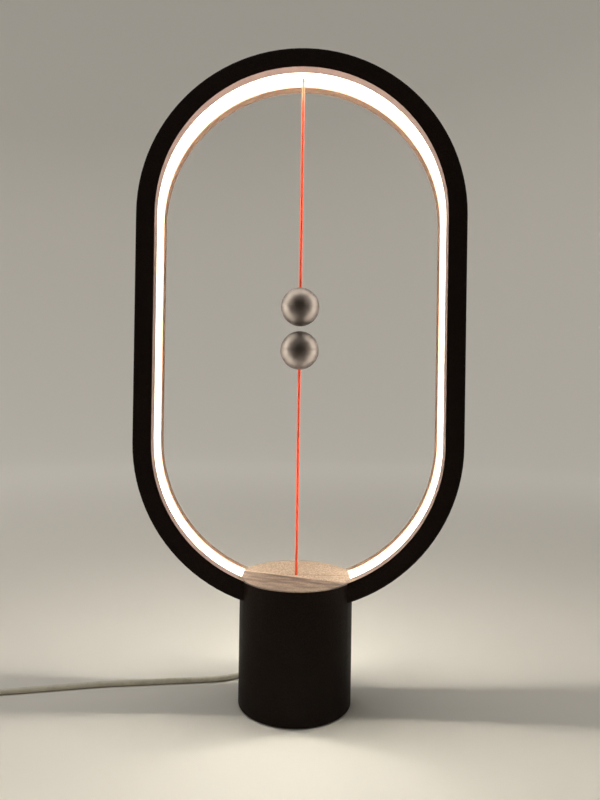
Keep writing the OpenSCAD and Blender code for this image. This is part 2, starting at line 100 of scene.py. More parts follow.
class NodeBench:
    """Adds and links nodes in one node tree."""

    def __init__(self, tree: Tree) -> None:
        """Starts work on a tree."""
        self.tree = tree
        self.column = 0

    def add(self, kind: str, **settings: object) -> bpy.types.Node:
        """Adds a node and sets its properties.

        Args:
            kind: The node's type name.
            **settings: Properties of the node and their values.

        Returns:
            The new node.
        """
        node = self.tree.nodes.new(kind)
        node.location = (self.column * 190, 0)
        self.column += 1
        for name, value in settings.items():
            setattr(node, name, value)
        return node

    def feed(self, node: bpy.types.Node, socket: str | int, source: object) -> None:
        """Gives an input a value, or links another node's output to it.

        Args:
            node: The node whose input it is.
            socket: The input's name or index.
            source: A value, or an output socket to link.
        """
        if isinstance(source, Socket):
            self.tree.links.new(source, node.inputs[socket])
        else:
            node.inputs[socket].default_value = source

    def parts(self, vector: Socket) -> Outputs:
        """Splits a vector.

        Args:
            vector: The vector's socket.

        Returns:
            The outputs X, Y and Z.
        """
        node = self.add("ShaderNodeSeparateXYZ")
        self.feed(node, 0, vector)
        return node.outputs

    def vectors(self, operation: str, first: Socket, second: object = (0.0, 0.0, 0.0)) -> Outputs:
        """Adds a Vector Math node.

        Args:
            operation: The sum it does.
            first: Its first source.
            second: Its second value or source.

        Returns:
            The outputs Vector and Value.
        """
        node = self.add("ShaderNodeVectorMath", operation=operation)
        self.feed(node, 0, first)
        self.feed(node, 1, second)
        return node.outputs

    def noise(self, vector: Socket, scale: object, **values: float) -> Socket:
        """Adds a Noise Texture.

        Args:
            vector: Where the pattern lies.
            scale: Its repeats in a metre.
            **values: The node's other inputs and their values.

        Returns:
            The pattern's value from 0 to 1.
        """
        node = self.add("ShaderNodeTexNoise")
        for name, value in {"Vector": vector, "Scale": scale, **values}.items():
            self.feed(node, name, value)
        return node.outputs["Fac"]

    def maths(self, operation: str, first: object, second: object = 0.0,
              clamp: bool = False) -> Socket:
        """Adds a Math node.

        Args:
            operation: The sum it does.
            first: Its first value or source.
            second: Its second value or source.
            clamp: Whether the result stays between 0 and 1.

        Returns:
            The result's socket.
        """
        node = self.add("ShaderNodeMath", operation=operation, use_clamp=clamp)
        self.feed(node, 0, first)
        self.feed(node, 1, second)
        return node.outputs[0]

    def times(self, first: object, second: object, clamp: bool = False) -> Socket:
        """Multiplies two values or sources."""
        return self.maths("MULTIPLY", first, second, clamp)

    def spread(self, source: object, low: float, high: float,
               to_low: float = 0.0, to_high: float = 1.0) -> Socket:
        """Maps a range of values smoothly onto another.

        Args:
            source: The value to map.
            low: The lower end of its range.
            high: The upper end of its range.
            to_low: What the lower end becomes.
            to_high: What the upper end becomes.

        Returns:
            The mapped value's socket.
        """
        node = self.add("ShaderNodeMapRange", interpolation_type="SMOOTHSTEP")
        for socket, value in enumerate((source, low, high, to_low, to_high)):
            self.feed(node, socket, value)
        return node.outputs[0]

    def blend(self, share: object, first: object, second: object) -> Socket:
        """Mixes two colours.

        Args:
            share: How much of the second colour there is.
            first: The first colour or its source.
            second: The second colour or its source.

        Returns:
            The mixed colour's socket.
        """
        node = self.add("ShaderNodeMix", data_type="RGBA")
        self.feed(node, 0, share)
        self.feed(node, 6, first)
        self.feed(node, 7, second)
        return node.outputs[2]


class Effects:
    """Shader node groups that more than one finish uses, each built once."""

    def __init__(self) -> None:
        """Builds the groups."""
        self.spark = self._spark_texture()
        self.dust = self._settled_dust()
        self.mottle = self._mottle()
        self.braid = self._braid()

    @staticmethod
    def _group(name: str, inputs: dict[str, float | None],
               outputs: tuple[str, ...]) -> tuple[NodeBench, Outputs, bpy.types.Node]:
        """Starts a node group.

        Args:
            name: The group's name.
            inputs: Each input's name with its default, or with None for a vector.
            outputs: The names of its values.

        Returns:
            A bench for the group, what the group is given, and its output node.
        """
        tree = bpy.data.node_groups.new(name, "ShaderNodeTree")
        for label, value in inputs.items():
            kind = "NodeSocketVector" if value is None else "NodeSocketFloat"
            socket = tree.interface.new_socket(label, in_out="INPUT", socket_type=kind)
            if value is not None:
                socket.default_value = value
        for label in outputs:
            tree.interface.new_socket(label, in_out="OUTPUT", socket_type="NodeSocketFloat")
        bench = NodeBench(tree)
        return bench, bench.add("NodeGroupInput").outputs, bench.add("NodeGroupOutput")

    def _spark_texture(self) -> Tree:
        """Fine even grain of a spark-eroded mould.

        Returns:
            The group, with outputs Height and Pits.
        """
        bench, given, result = self._group(
            "spark_texture", {"Vector": None, "Scale": 1800.0}, ("Height", "Pits"))
        fine = bench.noise(given["Vector"], given["Scale"], Detail=3.0, Roughness=0.6)
        cells = bench.add("ShaderNodeTexVoronoi", feature="SMOOTH_F1")
        bench.feed(cells, "Vector", given["Vector"])
        bench.feed(cells, "Scale", given["Scale"])
        bench.feed(cells, "Smoothness", 0.6)
        pits = bench.spread(cells.outputs["Distance"], 0.15, 0.75)
        mixed = bench.times(fine, pits)
        bench.feed(result, "Height", mixed)
        bench.feed(result, "Pits", bench.spread(mixed, 0.12, 0.42))
        return bench.tree

    def _settled_dust(self) -> Tree:
        """Thin dust on the faces that look up.

        Returns:
            The group, with the output Mask.
        """
        bench, given, result = self._group(
            "settled_dust", {"Vector": None, "Amount": 0.3}, ("Mask",))
        shape = bench.add("ShaderNodeNewGeometry")
        upward = bench.spread(bench.parts(shape.outputs["Normal"])["Z"], 0.55, 0.95)
        clouds = bench.noise(given["Vector"], 60.0, Detail=6.0, Roughness=0.7)
        settled = bench.times(upward, bench.spread(clouds, 0.35, 0.7))
        bench.feed(result, "Mask", bench.times(settled, given["Amount"], True))
        return bench.tree

    def _mottle(self) -> Tree:
        """Broad, faint change of tone and gloss, as from handling.

        Returns:
            The group, with outputs Tone and Smear.
        """
        bench, given, result = self._group(
            "mottle", {"Vector": None, "Scale": 22.0}, ("Tone", "SmearAndShadow"))
        broad = bench.noise(given["Vector"], given["Scale"], Detail=3.0)
        bench.feed(result, "Tone", bench.spread(broad, 0.3, 0.7))
        finer = bench.times(given["Scale"], 4.0)
        fine = bench.noise(given["Vector"], finer, Detail=5.0, Distortion=0.6)
        bench.feed(result, "SmearAndShadow", bench.spread(fine, 0.42, 0.75))
        return bench.tree

    def _braid(self) -> Tree:
        """Plaited strands round a cord, on its own UV map.

        Returns:
            The group, with the output Height.
        """
        bench, given, result = self._group(
            "braid", {"Around": 6.0, "Along": 900.0}, ("Height",))
        lie = bench.add("ShaderNodeUVMap", uv_map=CORD_MAP)
        spot = bench.parts(lie.outputs["UV"])
        turn = bench.times(spot["X"], given["Around"])
        run = bench.times(spot["Y"], given["Along"])
        left = bench.maths("PINGPONG", bench.maths("ADD", turn, run), 0.5)
        right = bench.maths("PINGPONG", bench.maths("SUBTRACT", turn, run), 0.5)
        bench.feed(result, "Height", bench.spread(bench.maths("MAXIMUM", left, right), 0.1, 0.5))
        return bench.tree


class FinishBench(NodeBench):
    """Bench for one finish's material, with its shader and the effects."""

    def __init__(self, finish: "Finish", effects: Effects) -> None:
        """Makes the material in its plain colour.

        Args:
            finish: The finish.
            effects: The shared node groups.
        """
        self.material = bpy.data.materials.new(finish.name)
        self.material.use_nodes = True
        super().__init__(self.material.node_tree)
        self.finish = finish
        self.effects = effects
        self.shader = self.tree.nodes["Principled BSDF"]
        self.place = self.add("ShaderNodeTexCoord").outputs["Object"]
        self.surface("Base Color", finish.colour)
        self.surface("Roughness", finish.roughness)

    def surface(self, socket: str, source: object) -> None:
        """Gives one of the shader's inputs a value or a source."""
        self.feed(self.shader, socket, source)

    def effect(self, tree: Tree, **values: float) -> Outputs:
        """Places an effect on the object's coordinates.

        Args:
            tree: The effect's group.
            **values: The group's inputs and their values.

        Returns:
            The effect's outputs.
        """
        node = self.add("ShaderNodeGroup", node_tree=tree)
        if "Vector" in node.inputs:
            self.feed(node, "Vector", self.place)
        for name, value in values.items():
            self.feed(node, name, value)
        return node.outputs

    def mottle(self) -> Outputs:
        """Places the finish's broad patches."""
        return self.effect(self.effects.mottle, Scale=self.finish.patches)

    def spark(self) -> Outputs:
        """Places the finish's grain."""
        return self.effect(self.effects.spark, Scale=self.finish.grain)

    def patched(self, first: object) -> Socket:
        """Darkens a colour in the finish's broad patches."""
        share = self.times(self.mottle()["Tone"], self.finish.patchy)
        return self.blend(share, first, shaded(self.finish.colour, self.finish.deep))

    def relief(self, height: Socket) -> None:
        """Gives the surface its fine relief.

        Args:
            height: The relief's height from 0 to 1.
        """
        bump = self.add("ShaderNodeBump")
        self.feed(bump, "Distance", self.finish.depth)
        self.feed(bump, "Height", height)
        self.surface("Normal", bump.outputs["Normal"])


@dataclass(frozen=True)
class Finish:
    """What every finish has.

    Attributes:
        name: The material's name.
        colour: Its main colour, linear.
        roughness: How rough it is.
        grain: Grains in a metre.
        depth: Depth of its relief.
        patches: Patches of tone in a metre.
        patchy: How strongly they or the handling marks show.
        deep: How dark the patches are, as a share of the main colour.
    """

    name: str
    colour: Colour
    roughness: float
    grain: float = 1700.0
    depth: float = 0.01 * MM
    patches: float = 22.0
    patchy: float = 0.35
    deep: float = 0.6

    def make(self, effects: Effects) -> bpy.types.Material:
        """Builds the material.

        Args:
            effects: The shared node groups.

        Returns:
            The material.
        """
        bench = FinishBench(self, effects)
        self.paint(bench)
        return bench.material

    def paint(self, bench: FinishBench) -> None:
        """Adds what is special to the finish."""
        raise NotImplementedError


@dataclass(frozen=True)
class SmearAndShadow:
    """Painted shadow: darker streaky patch on the front of the base's top, with a painted highlight
    line behind its edge.

    Attributes:
        colour: The painted shadow's colour where it is thickest.
        start: A point on its rear edge.
        turn: The edge's turn from the X axis, in degrees.
        soft: Half of the width over which the edge fades.
        flecked: How much of the flecks it covers.
        streaks: Streaks in a metre along the edge, across it and upwards.
        sharp: Values of the noise between which a streak begins.
        between: How thick it is between the streaks.
        thinning: Distances in front of the edge from which and to which it thins out.
        thinnest: How thick it still is there.
        line: Distance of the painted highlight line behind the edge.
        line_width: Half of the line's width, and half of its bright middle.
        line_run: Where the line ends, and where it is at its brightest, along the edge.
        line_share: How much of it shows there.
        line_bright: How bright it is, as a share of the flecks' colour.
    """

    colour: Colour = srgb(52, 39, 37)
    start: Point = (-1.5 * MM, -5.1 * MM, 0.0)
    turn: float = -19.3
    soft: float = 0.9 * MM
    flecked: float = 0.5
    streaks: Point = (60.0, 230.0, 60.0)
    sharp: Pair = (0.36, 0.64)
    between: float = 0.4
    thinning: Pair = (3 * MM, 24 * MM)
    thinnest: float = 0.6
    line: float = 1.5 * MM
    line_width: Pair = (1.4 * MM, 0.2 * MM)
    line_run: Pair = (16 * MM, -4 * MM)
    line_share: float = 0.45
    line_bright: float = 1.35

    def cover(self, bench: FinishBench, on_top: Socket, pale: Socket, low: Colour,
              high: Colour) -> Socket:
        """Lays the painted shadow and its painted highlight line over a flecked surface.

        Args:
            bench: The material's bench.
            on_top: A mask of the surface.
            pale: The surface's colour.
            low: The colour between its flecks.
            high: The colour of its flecks.

        Returns:
            The covered surface's colour.
        """
        turned = bench.add("ShaderNodeMapping", vector_type="TEXTURE")
        bench.feed(turned, "Vector", bench.place)
        bench.feed(turned, "Location", self.start)
        bench.feed(turned, "Rotation", (0.0, 0.0, math.radians(self.turn)))
        spot = bench.parts(turned.outputs[0])
        drawn_out = bench.vectors("MULTIPLY", turned.outputs[0], self.streaks)["Vector"]
        wavy = bench.noise(drawn_out, 1.0, Detail=4.0)
        streaky = bench.spread(wavy, *self.sharp, self.between, 1.0)
        thin = bench.spread(spot["Y"], -self.thinning[1], -self.thinning[0], self.thinnest, 1.0)
        there = bench.times(bench.spread(spot["Y"], self.soft, -self.soft), on_top)
        even = tuple((a + b) / 2 for a, b in zip(low, high))
        covered = bench.blend(bench.times(there, self.flecked), pale, even)
        # Painted highlight: a pale line just behind the shadow's edge.
        from_line = bench.maths("ABSOLUTE", bench.maths("SUBTRACT", spot["Y"], self.line))
        line = bench.times(bench.spread(from_line, *self.line_width),
                           bench.spread(spot["X"], *self.line_run, 0.0, self.line_share))
        lined = bench.blend(bench.times(line, on_top), covered,
                            shaded(high, self.line_bright))
        # Painted shadow: streaky, darkest at its edge, thinning out in front of it.
        thick = bench.times(bench.times(there, streaky), thin)
        return bench.blend(thick, lined, self.colour)


@dataclass(frozen=True)
class LitFaces:
    """Painted light: paler colours painted on what looks at the ring's light, the lips and the
    base's top.

    A pair gives where this painted light ends and where it is full.

    Attributes:
        top: Painted lit colour of the base's top.
        top_fleck: Painted lit colour of the grain's high points there.
        front_lip: Painted lit colour of the lip in front of the light.
        rear_lip: Painted lit colour of the lip behind it, darker than the front one.
        painted_shadow: The painted shadow and painted highlight line on the base's top.
        thickness: The ring's thickness.
        low: Height of the lower bend's centre.
        base_top: Height of the base's top.
        lip_fade: Pair for the lips, outwards from their radius.
        lip_facing: Pair for how squarely a lip faces the ring's spine, as a cosine.
        wall_fade: Pair for the walls of the light's recess, outwards from the lips' radius.
        wall_side: Pair for these walls, from the mid-plane.
        top_fade: Pair for the base's top, upwards from it.
        lips_meet: Half of the width over which the lips' colours meet.
    """

    top: Colour
    top_fleck: Colour
    front_lip: Colour = srgb(110, 92, 87)
    rear_lip: Colour = srgb(100, 79, 66)
    painted_shadow: SmearAndShadow = SmearAndShadow()
    thickness: float = 11.6 * MM
    low: float = 161 * MM
    base_top: float = 78.5 * MM
    lip_fade: Pair = (2.2 * MM, 1.6 * MM)
    lip_facing: Pair = (0.45, 0.7)
    wall_fade: Pair = (1.1 * MM, 0.7 * MM)
    wall_side: Pair = (10.5 * MM, 9.5 * MM)
    top_fade: Pair = (2.0 * MM, 1.0 * MM)
    lips_meet: float = 1.0 * MM

    def mask(self, bench: FinishBench) -> Socket:
        """Finds the faces that the ring's light falls on, which get the painted light.

        Args:
            bench: The material's bench.

        Returns:
            A mask, 1 on them.
        """
        _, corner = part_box("front_casing")
        spot = bench.parts(bench.place)
        spine = bench.add("ShaderNodeCombineXYZ")
        above = bench.maths("MAXIMUM", spot["Z"], self.low)
        bench.feed(spine, "Z", bench.maths("MINIMUM", above, corner.z - corner.x))
        flat = bench.vectors("MULTIPLY", bench.place, (1.0, 0.0, 1.0))["Vector"]
        inward = bench.vectors("SUBTRACT", spine.outputs[0], flat)["Vector"]
        past_lips = bench.maths("SUBTRACT", bench.vectors("LENGTH", inward)["Value"],
                                corner.x - self.thickness)
        aim = bench.vectors("NORMALIZE", inward)["Vector"]
        shape = bench.add("ShaderNodeNewGeometry")
        facing = bench.vectors("DOT_PRODUCT", aim, shape.outputs["Normal"])["Value"]
        # Painted light goes on the faces that look at the ring's spine, where its light falls, and
        # on the walls of the light's recess.
        faces = bench.times(bench.spread(past_lips, *self.lip_fade),
                            bench.spread(facing, *self.lip_facing), True)
        walls = bench.times(bench.spread(past_lips, *self.wall_fade),
                            bench.spread(bench.maths("ABSOLUTE", spot["Y"]), *self.wall_side), True)
        return bench.maths("MAXIMUM", faces, walls)

    def cover(self, bench: FinishBench, elsewhere: Socket, pits: Socket) -> Socket:
        """Lays this painted light over the casing's own colour.

        Args:
            bench: The material's bench.
            elsewhere: The casing's colour on its other faces.
            pits: The grain's high points.

        Returns:
            The casing's colour.
        """
        spot = bench.parts(bench.place)
        on_top = bench.spread(bench.maths("SUBTRACT", spot["Z"], self.base_top), *self.top_fade)
        speckled = bench.blend(pits, self.top, self.top_fleck)
        rear = bench.spread(spot["Y"], -self.lips_meet, self.lips_meet)
        lips = bench.blend(rear, self.front_lip, self.rear_lip)
        # Painted light: the lit colours of the lips and of the base's top.
        pale = bench.blend(on_top, lips, speckled)
        # Painted shadow and painted highlight line on the base's top.
        with_painted_shadow = self.painted_shadow.cover(bench, on_top, pale, self.top, self.top_fleck)
        return bench.blend(self.mask(bench), elsewhere, with_painted_shadow)


@dataclass(frozen=True)
class MouldedFinish(Finish):
    """Moulded plastic with a spark-eroded grain.

    Attributes:
        fleck: The colour of the grain's high points.
        flecky: How strongly they show.
        dust: How much dust lies on it.
        dust_colour: The dust's colour.
        dust_rough: How much rougher the dust makes it.
        polish: How much smoother handling makes it.
        specular: Strength of its mirror reflection.
        tint: Colour of that reflection.
        lit: The painted light on the faces that look at the ring's light, or None.
    """

    fleck: Colour = (0.1, 0.1, 0.1, 1.0)
    flecky: float = 0.55
    dust: float = 0.0
    dust_colour: Colour = srgb(150, 140, 128)
    dust_rough: float = 0.3
    polish: float = 0.07
    specular: float = 0.5
    tint: Colour = srgb(255, 255, 255)
    lit: LitFaces | None = None

    def paint(self, bench: FinishBench) -> None:
        """Adds the flecks, patches, dust, grain and, where lit is set, the painted light.

        Args:
            bench: The material's bench.
        """
        spark = bench.spark()
        dust = bench.effect(bench.effects.dust, Amount=self.dust)["Mask"]
        flecks = bench.times(spark["Pits"], self.flecky)
        toned = bench.patched(bench.blend(flecks, self.colour, self.fleck))
        # Painted light: paler colours on the faces that look at the ring's light.
        if self.lit:
            toned = self.lit.cover(bench, toned, spark["Pits"])
        bench.surface("Base Color", bench.blend(dust, toned, self.dust_colour))
        gloss = bench.times(bench.mottle()["SmearAndShadow"], -self.polish)
        worn = bench.maths("ADD", gloss, self.roughness)
        rough = bench.maths("ADD", worn, bench.times(dust, self.dust_rough), True)
        bench.surface("Roughness", rough)
        bench.surface("Specular IOR Level", self.specular)
        bench.surface("Specular Tint", self.tint)
        bench.relief(spark["Height"])


@dataclass(frozen=True)
class GlowFinish(Finish):
    """Milky plastic lit from behind by the chips.

    Attributes:
        rim_colour: Colour of the light near the lips.
        strength: Strength of the light that it throws.
        seen_strength: Its strength to the eye, near that of white paper.
        even_width: Half of the width that is lit evenly, along Y.
        half_width: Half of the strip's width, along Y.
    """

    rim_colour: Colour = srgb(232, 208, 182)
    strength: float = 42.0
    seen_strength: float = 1.12
    even_width: float = 7.0 * MM
    half_width: float = 8.8 * MM

    def paint(self, bench: FinishBench) -> None:
        """Adds the light and the grain.

        Args:
            bench: The material's bench.
        """
        across = bench.maths("ABSOLUTE", bench.parts(bench.place)["Y"])
        even = bench.spread(across, self.half_width, self.even_width)
        haze = bench.times(bench.mottle()["Tone"], self.patchy)
        bench.surface("Emission Color", bench.blend(bench.maths("SUBTRACT", even, haze, True),
                                                    self.rim_colour, self.colour))
        ray = bench.add("ShaderNodeLightPath").outputs
        to_eye = bench.times(ray["Is Camera Ray"], self.seen_strength - self.strength)
        bench.surface("Emission Strength", bench.maths("ADD", to_eye, self.strength))
        bench.relief(bench.spark()["Height"])


@dataclass(frozen=True)
class BraidFinish(Finish):
    """Plaited cord.

    Attributes:
        shade: Painted shade in the gaps between strands.
        strands: Strands round the cord.
        specular: Strength of its mirror reflection.
    """

    shade: Colour = (0.2, 0.02, 0.01, 1.0)
    strands: float = 6.0
    specular: float = 0.15

    def paint(self, bench: FinishBench) -> None:
        """Adds the plait, with painted shade in the gaps between its strands.

        Args:
            bench: The material's bench.
        """
        height = bench.effect(bench.effects.braid, Around=self.strands, Along=self.grain)["Height"]
        # Painted shade: the gaps between strands get the darker shade colour.
        bench.surface("Base Color", bench.blend(height, self.shade, bench.patched(self.colour)))
        bench.surface("Specular IOR Level", self.specular)
        bench.relief(height)


@dataclass(frozen=True)
class WornFinish(Finish):
    """Soft plastic or metal whose handling marks show, and whose gloss changes from place to place.

    Attributes:
        soil: Colour of the marks, or None for a darker tone of the main colour.
        metallic: 1 for metal.
        glossier: How much smoother its smoothest places are.
        duller: How much rougher its roughest places are.
    """

    soil: Colour | None = None
    metallic: float = 0.0
    glossier: float = 0.0
    duller: float = 0.12

    def paint(self, bench: FinishBench) -> None:
        """Adds the marks and the grain.

        Args:
            bench: The material's bench.
        """
        mottle = bench.mottle()
        marks = bench.times(mottle["SmearAndShadow"], self.patchy)
        soil = self.soil or shaded(self.colour, self.deep)
        bench.surface("Base Color", bench.blend(marks, self.colour, soil))
        bench.surface("Metallic", self.metallic)
        bench.surface("Roughness", bench.spread(mottle["Tone"], 0.0, 1.0,
                                                self.roughness - self.glossier,
                                                self.roughness + self.duller))
        bench.relief(bench.spark()["Height"])


@dataclass(frozen=True)
class FloorFinish(Finish):
    """Matt floor that looks paler far away, but only as seen and mirrored.

    Attributes:
        glow: How much paler the far part looks.
        glow_reach: Distances from the lamp from which and to which it gets paler.
    """

    glow: float = 0.24
    glow_reach: Pair = (0.3, 1.5)

    def paint(self, bench: FinishBench) -> None:
        """Adds the pale distance.

        Args:
            bench: The material's bench.
        """
        ray = bench.add("ShaderNodeLightPath").outputs
        seen = bench.maths("MAXIMUM", ray["Is Camera Ray"], ray["Is Glossy Ray"])
        seen = bench.maths("MAXIMUM", seen, ray["Is Transmission Ray"])
        away = bench.vectors("LENGTH", bench.place)["Value"]
        far = bench.times(seen, bench.spread(away, *self.glow_reach))
        bench.surface("Emission Color", self.colour)
        bench.surface("Emission Strength", bench.times(far, self.glow))


class Shade(Enum):
    """Named finishes of the lamp's pieces and of the floor."""

    # The casing's lit colours are painted light on the faces that look at the ring's light.
    CASING = MouldedFinish("casing_plastic", srgb(18, 10, 6), 0.52, fleck=srgb(36, 23, 16),
                           grain=1300.0, depth=0.12 * MM, specular=0.08, dust=0.03,
                           lit=LitFaces(top=srgb(95, 80, 70), top_fleck=srgb(133, 116, 100)))
    BALL = MouldedFinish("ball_plastic", srgb(16, 10, 8), 0.53, fleck=srgb(27, 19, 16),
                         grain=2400.0, depth=0.03 * MM, specular=0.75, tint=srgb(255, 236, 226))
    GLOW = GlowFinish("lit_diffuser", srgb(255, 252, 240), 0.4, grain=900.0, depth=0.02 * MM,
                      patches=60.0, patchy=0.1)
    # The cord's shade colour is painted shade in the gaps between its strands.
    CORD = BraidFinish("braided_cord", srgb(190, 67, 33), 0.75, grain=700.0, depth=0.12 * MM,
                       patches=400.0, patchy=0.3, deep=0.75, shade=srgb(138, 33, 15))
    JACKET = WornFinish("cable_jacket", srgb(214, 208, 190), 0.42, grain=2500.0, depth=0.02 * MM,
                        patches=45.0, patchy=0.3, soil=srgb(150, 142, 118), glossier=0.06,
                        duller=0.08)
    WHITE_MOULDING = MouldedFinish("white_moulding", srgb(226, 222, 210), 0.45, grain=2200.0,
                                   depth=0.02 * MM, fleck=srgb(240, 238, 230))
    BLACK_MOULDING = MouldedFinish("black_moulding", srgb(28, 29, 32), 0.5, depth=0.06 * MM,
                                   fleck=srgb(52, 53, 58))
    RED_MOULDING = MouldedFinish("red_moulding", srgb(190, 52, 36), 0.35, fleck=srgb(214, 80, 60))
    PLATE = MouldedFinish("plate_plastic", srgb(40, 35, 31), 0.55, depth=0.06 * MM,
                          fleck=srgb(66, 60, 55), dust=0.12)
    FOAM = MouldedFinish("foam_pad", srgb(24, 24, 25), 0.9, grain=1100.0, depth=0.2 * MM,
                         fleck=srgb(58, 58, 60), specular=0.2)
    BOARD = MouldedFinish("circuit_board", srgb(22, 96, 50), 0.3, fleck=srgb(34, 120, 66))
    CERAMIC = MouldedFinish("ceramic", srgb(176, 136, 84), 0.5, depth=0.06 * MM,
                            fleck=srgb(196, 160, 110))
    PHOSPHOR = MouldedFinish("phosphor", srgb(244, 208, 96), 0.35, fleck=srgb(252, 226, 140))
    TAPE = MouldedFinish("led_tape", srgb(236, 234, 226), 0.4, fleck=srgb(246, 244, 238))
    WIRE = MouldedFinish("wire_jacket", srgb(150, 26, 22), 0.45, fleck=srgb(170, 44, 38))
    PLATED = WornFinish("bright_plate", srgb(206, 206, 204), 0.22, grain=900.0, patches=120.0,
                        patchy=0.25, metallic=1.0)
    TURNED = WornFinish("turned_steel", srgb(150, 152, 154), 0.34, grain=1600.0, patches=120.0,
                        patchy=0.25, metallic=1.0)
    FLOOR = FloorFinish("pale_floor", srgb(226, 222, 214), 0.7)


class Wardrobe:
    """Makes each finish once and puts it on pieces."""

    def __init__(self) -> None:
        """Builds the shared effects."""
        self.effects = Effects()
        self.made: dict[Shade, bpy.types.Material] = {}

    def dress(self, shade: Shade, *pieces: Piece | str) -> None:
        """Gives pieces one finish all over, which is made at its first use.

        Args:
            shade: The finish.
            *pieces: The pieces, or the names of the frame's nodes.
        """
        if shade not in self.made:
            self.made[shade] = shade.value.make(self.effects)
        for piece in pieces:
            if isinstance(piece, str):
                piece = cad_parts[piece]
            piece.data.materials.clear()
            piece.data.materials.append(self.made[shade])
            log.info("dressed %s as %s", piece.name, shade.value.name)


def add_object(name: str, data: bpy.types.ID) -> Piece:
    """Puts a new object into the scene, at the origin.

    Args:
        name: Its name.
        data: Its mesh, curve, camera or light.

    Returns:
        The object.
    """
    item = bpy.data.objects.new(name, data)
    bpy.context.scene.collection.objects.link(item)
    return item


def place_mesh(name: str, shape: bmesh.types.BMesh, smooth_angle: float = 35.0) -> Piece:
    """Turns a bmesh into a piece at the origin.

    Args:
        name: The piece's name.
        shape: Its mesh, which is freed.
        smooth_angle: Edges flatter than this angle in degrees are smooth.

    Returns:
        The new piece.
    """
    bmesh.ops.recalc_face_normals(shape, faces=shape.faces)
    mesh = bpy.data.meshes.new(name)
    shape.to_mesh(mesh)
    shape.free()
    mesh.shade_smooth()
    mesh.set_sharp_from_angle(angle=math.radians(smooth_angle))
    return add_object(name, mesh)


@dataclass
class PhotoCamera:
    """The camera at the photograph's viewing angle.

    Attributes:
        place: Where it stands.
        yaw: Its turn to the right, in degrees.
        pitch: Its tilt up, in degrees.
        roll: Its lean, in degrees.
        lens: Its focal length in millimetres.
        film: Width of the frame that this is for, in millimetres.
        near: Nearest distance that it sees.
    """

    place: Point = (7.26 * MM, -385.2 * MM, 186.3 * MM)
    yaw: float = -0.968
    pitch: float = 0.218
    roll: float = 0.859
    lens: float = 27.68
    film: float = 36.0
    near: float = 10 * MM

    def build(self) -> None:
        """Makes the camera and hands it to the scene."""
        lens = bpy.data.cameras.new("photo_camera")
        lens.lens = self.lens
        lens.sensor_width = self.film
        lens.clip_start = self.near
        camera = add_object("photo_camera", lens)
        turn = Matrix.Rotation(math.radians(-self.yaw), 4, "Z")
        tilt = Matrix.Rotation(math.radians(90 + self.pitch), 4, "X")
        lean = Matrix.Rotation(math.radians(self.roll), 4, "Z")
        camera.matrix_world = Matrix.Translation(self.place) @ turn @ tilt @ lean
        bpy.context.scene.camera = camera


@dataclass
class Assembly:
    """A sub-assembly.

    Attributes:
        wardrobe: Where its finishes come from.
    """

    wardrobe: Wardrobe


